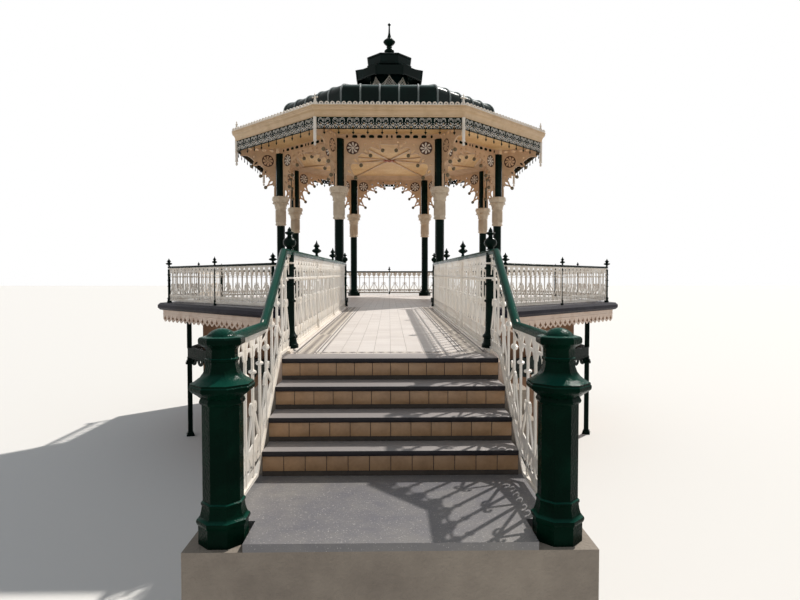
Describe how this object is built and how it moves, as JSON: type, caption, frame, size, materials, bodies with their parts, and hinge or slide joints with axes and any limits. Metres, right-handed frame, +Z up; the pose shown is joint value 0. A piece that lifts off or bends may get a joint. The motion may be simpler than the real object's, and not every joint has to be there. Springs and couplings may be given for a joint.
{
  "type": "bandstand",
  "caption": "Octagonal seaside bandstand on a raised railed deck, with cusped iron arches, a lantern roof, and a railed bridge and steps",
  "frame": {"origin": "centre of the octagon, at the lower ground on which the walls, posts and abutment stand", "axes": "+Z up; -Y towards the street, along the bridge to the steps; +Y the open side; X across"},
  "size_m": [12.1, 20.854, 11.9],
  "materials": {
    "render_wall": "painted render, weathered brown",
    "stone": "plain dressed masonry",
    "slate": "dark purple-grey slate coping, honed",
    "cream_iron": "gloss ivory paint on cast iron",
    "green_iron": "gloss dark green paint on cast iron",
    "timber": "painted cream boards",
    "roof_sheet": "dark green painted sheet metal",
    "floor_tile": "matt cream tiles",
    "riser_tile": "ochre tiles"
  },
  "bodies": {
    "root": {"lower_floor": "stone", "lower_walls": "render_wall", "lower_posts": "green_iron", "lower_beams": "green_iron", "deck_slab": "stone", "deck_floor": "floor_tile", "deck_coping": "slate", "deck_fringe": "cream_iron", "column_bases": "green_iron", "columns": "green_iron", "capitals": "cream_iron", "upper_shafts": "green_iron", "arch_beams": "cream_iron", "arch_frets": "cream_iron", "eaves_brackets": "cream_iron", "ceiling": "timber", "gutter": "cream_iron", "cresting": "cream_iron", "corner_spires": "cream_iron", "valance": "green_iron", "corner_pendants": "cream_iron", "skirt_roof": "roof_sheet", "drum_roof": "roof_sheet", "roof_rolls": "roof_sheet", "lantern_drum": "roof_sheet", "lantern_hood": "roof_sheet", "lantern_cap": "roof_sheet", "finial": "green_iron", "deck_balustrade": "cream_iron", "deck_rails": "green_iron", "bridge_slab": "stone", "bridge_floor": "floor_tile", "bridge_girders": "green_iron", "bridge_kerbs": "cream_iron", "bridge_balustrades": "cream_iron", "stair_balustrades": "cream_iron", "handrails": "green_iron", "rail_posts": "green_iron", "rail_spikes": "green_iron", "abutment": "stone", "stair_core": "stone", "stair_treads": "slate", "stair_risers": "riser_tile", "foot_slab": "slate", "newels": "green_iron"}
  },
  "joints": []
}
